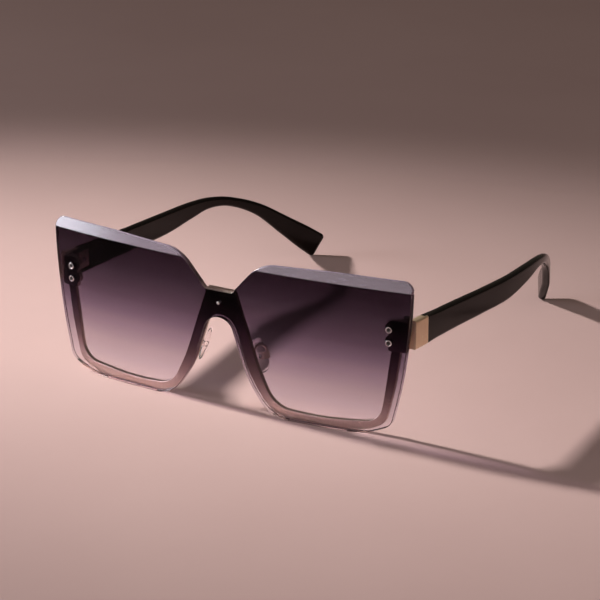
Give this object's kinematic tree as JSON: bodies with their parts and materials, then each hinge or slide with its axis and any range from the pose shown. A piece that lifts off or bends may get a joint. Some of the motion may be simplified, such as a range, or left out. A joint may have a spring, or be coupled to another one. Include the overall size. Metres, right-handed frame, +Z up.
{
  "type": "oversized sunglasses",
  "caption": "Oversized rimless shield sunglasses: one bevelled, gradient-tinted lens on metal half-rims, with rocking nose pads and hinged, curved temples.",
  "frame": {"origin": "on the table, under the middle of the overall length and on the mirror plane between the lobes", "axes": "+Z up, +Y from the lens back along the temples, +X to the right of someone facing the front"},
  "size_m": [0.1492, 0.1625, 0.0574],
  "materials": {
    "lens": "polished, clear, tinted darker towards the top",
    "rose_metal": "satin rose-grey lacquer",
    "gold_metal": "brushed pale rose gold plate",
    "steel": "polished",
    "core_steel": "drawn wire",
    "temple_plastic": "polished black",
    "pad": "clear, slightly milky silicone"
  },
  "bodies": {
    "front": {"shield_lens": "lens", "bridge_plate": "rose_metal", "bridge_rivet": "steel", "rim_left": "rose_metal", "rim_right": "rose_metal", "end_piece_left": "rose_metal", "end_piece_right": "rose_metal", "lens_rivets_left": "steel", "lens_rivets_right": "steel", "hinge_front_left": "rose_metal", "hinge_front_right": "rose_metal", "hinge_screw_left": "steel", "hinge_screw_right": "steel", "nose_pad_arm_left": "rose_metal", "nose_pad_arm_right": "rose_metal", "nose_pad_screw_left": "steel", "nose_pad_screw_right": "steel"},
    "right_temple": {"temple_right": "temple_plastic", "temple_core_right": "core_steel", "temple_cap_right": "gold_metal", "hinge_rear_right": "rose_metal", "hinge_rivets_right": "steel"},
    "left_temple": {"temple_left": "temple_plastic", "temple_core_left": "core_steel", "temple_cap_left": "gold_metal", "hinge_rear_left": "rose_metal", "hinge_rivets_left": "steel"},
    "right_nose_pad": {"nose_pad_right": "pad"},
    "left_nose_pad": {"nose_pad_left": "pad"}
  },
  "joints": [
    {"name": "right_temple_hinge", "type": "hinge", "parent": "front", "child": "right_temple", "pos_m": [0.068, -0.0689, 0.0375], "axis": [0, 0, 1], "range_deg": [0, 85.5]},
    {"name": "left_temple_hinge", "type": "hinge", "parent": "front", "child": "left_temple", "pos_m": [-0.068, -0.0689, 0.0375], "axis": [0, 0, -1], "range_deg": [0, 68]},
    {"name": "right_pad_rock", "type": "hinge", "parent": "front", "child": "right_nose_pad", "pos_m": [0.01369, -0.07258, 0.01952], "axis": [0.4226, 0.9063, 0], "range_deg": [-10, 10]},
    {"name": "left_pad_rock", "type": "hinge", "parent": "front", "child": "left_nose_pad", "pos_m": [-0.01369, -0.07258, 0.01952], "axis": [-0.4226, 0.9063, 0], "range_deg": [-10, 10]}
  ]
}
